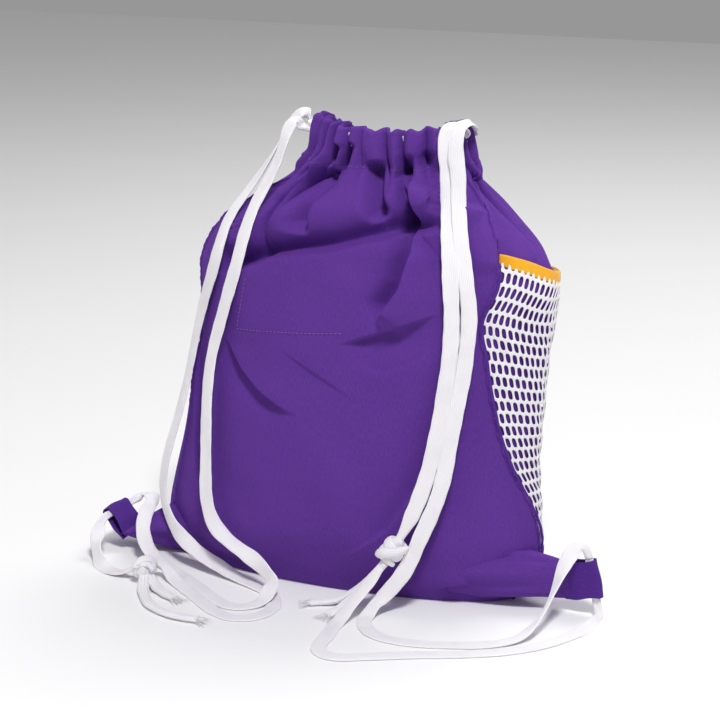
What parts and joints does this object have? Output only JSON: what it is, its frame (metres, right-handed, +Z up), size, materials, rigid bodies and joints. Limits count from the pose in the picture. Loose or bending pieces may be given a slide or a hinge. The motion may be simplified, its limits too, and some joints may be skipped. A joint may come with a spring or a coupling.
{
  "type": "drawstring backpack",
  "caption": "Flat drawstring bag, filled and standing, with gathered neck, paired flat cords run through corner loops to knots, and a mesh side pocket.",
  "frame": {"origin": "on the surface the bag stands on, near the middle of its base", "axes": "+Z up, +X along the back panel towards the mesh pocket, straps on the -Y side"},
  "size_m": [0.4442, 0.2733, 0.3887],
  "materials": {
    "woven_panel": "matt woven polyester",
    "woven_trim": "matt woven polyester",
    "mesh": "matt knitted mesh",
    "binding": "satin grosgrain tape",
    "drawcord": "soft flat braided cord",
    "thread": "matt sewing thread"
  },
  "bodies": {
    "bag": {"back_casing": "woven_panel", "back_channel_stitching": "thread", "back_panel": "woven_panel", "drawcord_left_in_casing": "drawcord", "drawcord_right_in_casing": "drawcord", "front_casing": "woven_panel", "front_channel_stitching": "thread", "front_panel": "woven_panel", "inner_pocket": "woven_panel", "inner_pocket_stitching": "thread", "knot_left": "drawcord", "knot_right": "drawcord", "mesh_pocket": "mesh", "pocket_binding": "binding", "pocket_hem_far": "woven_trim", "pocket_hem_foot": "woven_trim", "pocket_hem_seam": "woven_trim", "side_seam_left": "woven_trim", "side_seam_right": "woven_trim", "strand_left_tab_to_knot": "drawcord", "strand_left_to_knot": "drawcord", "strand_left_to_tab": "drawcord", "strand_right_knot_to_tab": "drawcord", "strand_right_to_knot": "drawcord", "strand_right_to_tab": "drawcord", "tail_left_long": "drawcord", "tail_left_short": "drawcord", "tail_right_long": "drawcord", "tail_right_short": "drawcord"},
    "loop_left": {"tab_left": "woven_trim", "cord_in_left_tab": "drawcord"},
    "loop_right": {"tab_right": "woven_trim", "cord_in_right_tab": "drawcord"}
  },
  "joints": [
    {"name": "loop_left_swing", "type": "hinge", "parent": "bag", "child": "loop_left", "pos_m": [-0.183, -0.028, 0.013], "axis": [0, 1, 0], "range_deg": [-50, 35], "deforming": ["strand_left_to_tab", "strand_left_tab_to_knot"]},
    {"name": "loop_right_swing", "type": "hinge", "parent": "bag", "child": "loop_right", "pos_m": [0.208, -0.015, 0.026], "axis": [-0.2079, 0, 0.9781], "range_deg": [-45, 45], "deforming": ["strand_right_to_tab", "strand_right_knot_to_tab"]}
  ]
}
